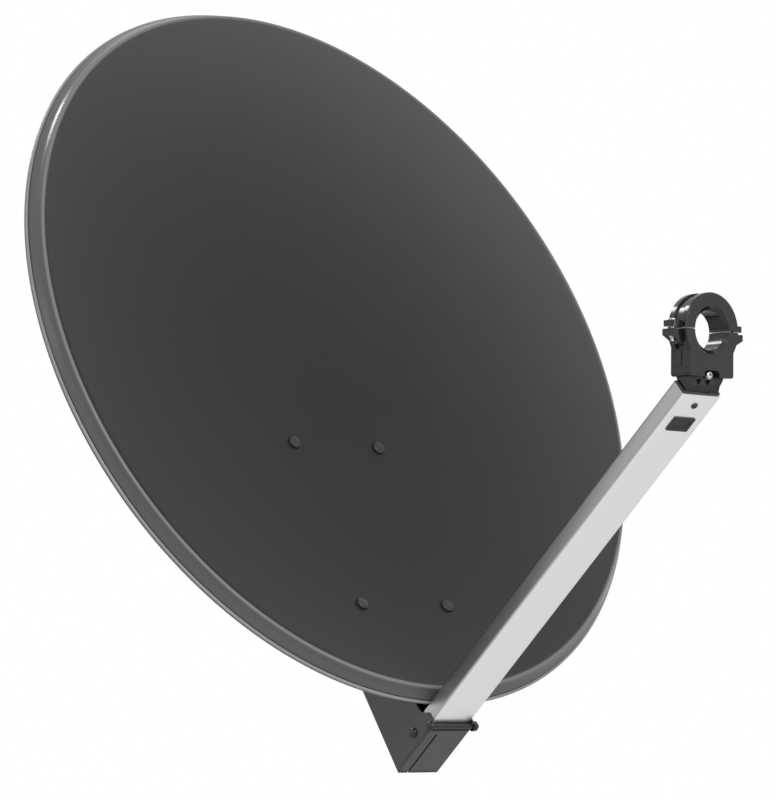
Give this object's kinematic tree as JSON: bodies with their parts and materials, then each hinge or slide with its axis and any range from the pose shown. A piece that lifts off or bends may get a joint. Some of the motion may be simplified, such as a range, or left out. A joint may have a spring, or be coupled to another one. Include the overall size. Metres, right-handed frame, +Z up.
{
  "type": "satellite dish",
  "caption": "Offset satellite dish: oval reflector with rolled rim, rectangular feed arm with a split clamp for the feed, and a tilting bracket on a clamp for a round mast.",
  "frame": {"origin": "on the mast's axis at mid height of the mast clamp", "axes": "+Z up along the mast, the dish looks towards -Y, +X to the right as seen from the front"},
  "size_m": [0.8056, 0.7555, 0.8669],
  "materials": {
    "reflector_coat": "matt dark grey powder coat on sheet aluminium",
    "bracket_coat": "matt dark grey powder coat on sheet steel",
    "arm_metal": "satin drawn tube",
    "gloss_black": "moulded, glossy",
    "black_plastic": "moulded, matt",
    "black_rubber": "soft, matt",
    "zinc": "bright zinc plating",
    "galvanised": "hot-dip galvanised",
    "dark_fastener": "dark coated steel"
  },
  "bodies": {
    "mount": {"mast_yoke": "bracket_coat", "pivot_bolt": "zinc", "pivot_washers": "zinc", "pivot_nut": "zinc", "front_saddle": "galvanised", "mast_bolts": "zinc"},
    "rear_clamp": {"rear_saddle": "galvanised", "mast_washers": "zinc", "mast_nuts": "zinc"},
    "dish": {"reflector": "reflector_coat", "reflector_bolts": "dark_fastener", "reflector_washers": "zinc", "reflector_nuts": "zinc", "dish_bracket": "bracket_coat", "lock_bolts": "zinc", "lock_washers": "zinc", "lock_nuts": "zinc", "feed_arm": "arm_metal", "cable_plug": "black_rubber", "arm_end_plug": "black_plastic", "arm_clamp_bolt": "dark_fastener", "arm_clamp_nut": "dark_fastener", "arm_cross_bolt": "dark_fastener", "arm_cross_nut": "dark_fastener", "feed_holder": "gloss_black", "holder_screw": "zinc", "arm_screw": "dark_fastener", "cap_nuts": "zinc"},
    "feed_clamp_cap": {"feed_cap": "gloss_black", "cap_screws": "zinc"}
  },
  "joints": [
    {"name": "elevation", "type": "hinge", "parent": "mount", "child": "dish", "pos_m": [0, -0.12, -0.035], "axis": [-1, 0, 0], "range_deg": [-36, 13]},
    {"name": "mast_clamp_opening", "type": "slide", "parent": "mount", "child": "rear_clamp", "axis": [0, 1, 0], "range_m": [-0.006, 0.015]},
    {"name": "feed_cap_lift", "type": "slide", "parent": "dish", "child": "feed_clamp_cap", "axis": [0, -0.0192, 0.9998], "range_m": [-0.0005, 0.012]}
  ]
}
